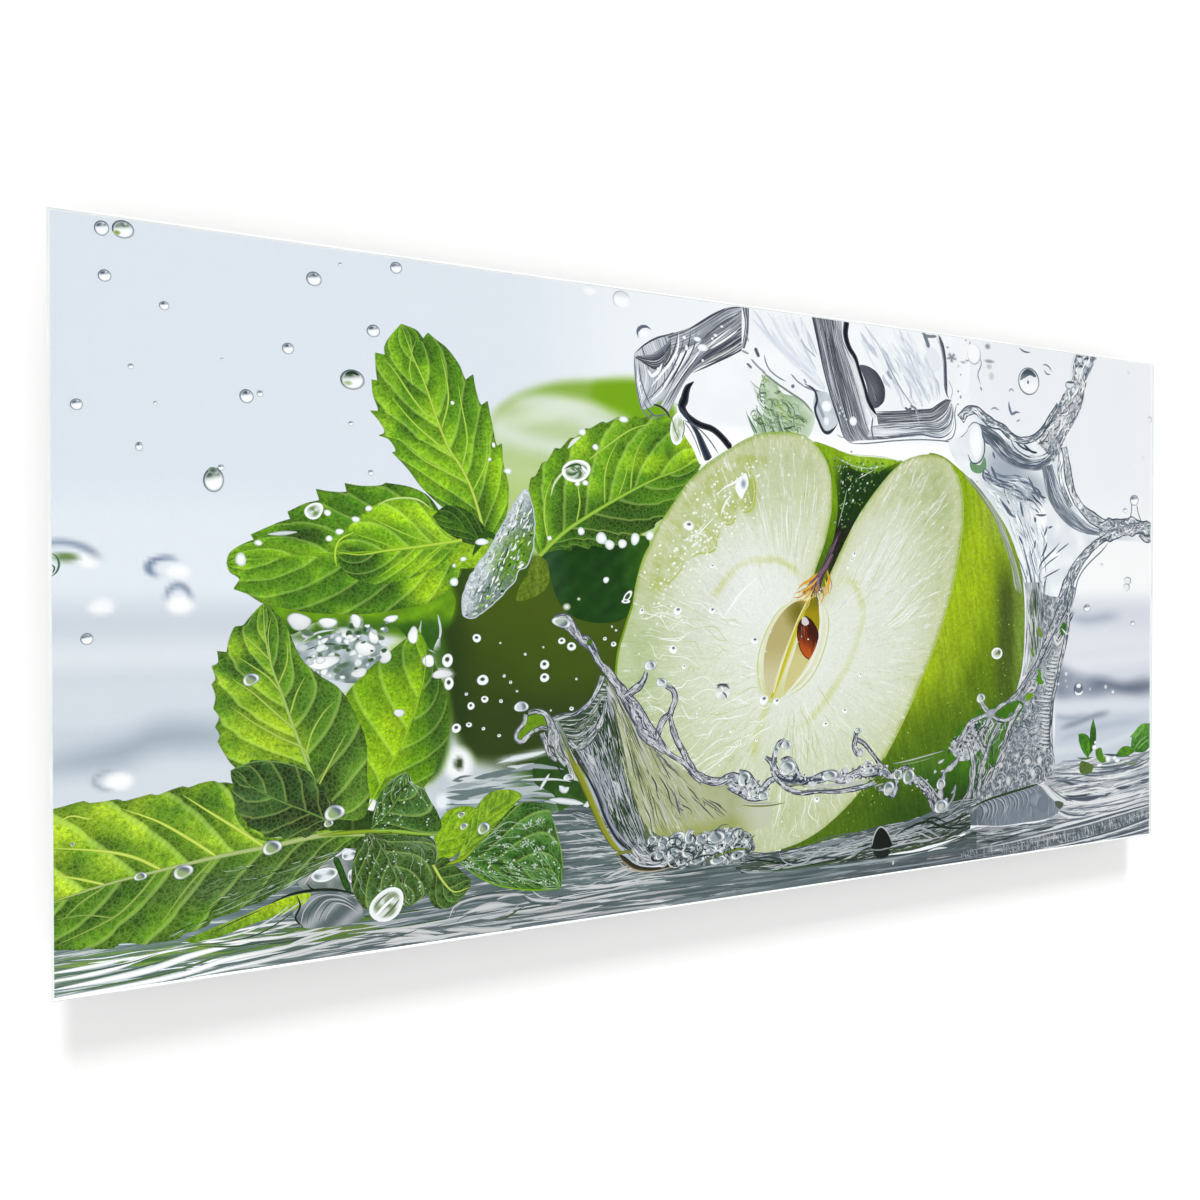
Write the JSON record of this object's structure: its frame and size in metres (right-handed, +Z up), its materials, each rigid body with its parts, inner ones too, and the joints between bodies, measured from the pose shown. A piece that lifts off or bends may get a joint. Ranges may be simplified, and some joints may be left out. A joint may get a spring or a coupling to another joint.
{
  "type": "printed glass wall panel",
  "caption": "Frameless wide wall panel of clear chamfered glass with a fruit and water picture printed behind it.",
  "frame": {"origin": "centre of the panel's back face, which lies flat against the wall", "axes": "+Y points into the wall, out of the back face; the glass faces -Y; +X is the long side, to the viewer's right; +Z is up"},
  "size_m": [1, 0.0048, 0.5],
  "materials": {
    "clear_glass": "polished, with a bright ground chamfer round the edge",
    "print_lacquer": "colour print with white backing lacquer"
  },
  "bodies": {
    "root": {"glass_pane": "clear_glass", "print_backing": "print_lacquer"}
  },
  "joints": []
}
